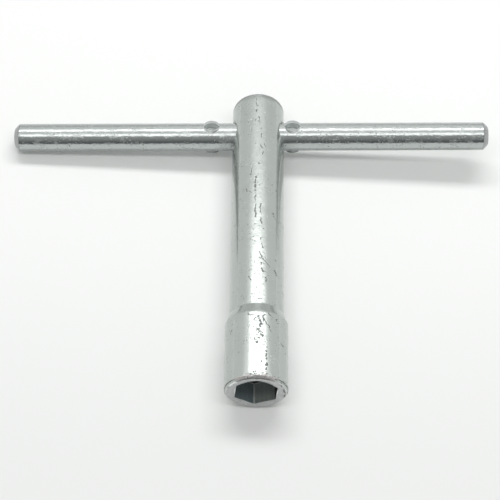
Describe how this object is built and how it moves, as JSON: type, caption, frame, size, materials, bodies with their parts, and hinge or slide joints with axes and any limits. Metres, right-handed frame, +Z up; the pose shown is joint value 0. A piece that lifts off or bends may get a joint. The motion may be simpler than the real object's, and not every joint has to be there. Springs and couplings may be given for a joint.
{
  "type": "socket wrench",
  "caption": "T-handle socket wrench: round forged body with a hexagon socket in its head, and a sliding cross bar held in the shank by staked stops.",
  "frame": {"origin": "middle of the socket's mouth, on the axis of the shank", "axes": "X along the cross bar, Y along the shank from the mouth to the far end, Z up with the wrench lying down"},
  "size_m": [0.176, 0.123, 0.022],
  "materials": {
    "body_zinc": "bright zinc plating on forged steel, with fine pits, scratches and a worn mouth edge",
    "bar_zinc": "bright zinc plating on drawn steel bar, smoother than the body, with fine specks and drawing lines"
  },
  "bodies": {
    "socket": {"socket_body": "body_zinc"},
    "bar": {"cross_bar": "bar_zinc"}
  },
  "joints": [
    {"name": "bar_slide", "type": "slide", "parent": "socket", "child": "bar", "axis": [1, 0, 0], "range_m": [-0.0017, 0.0061]}
  ]
}
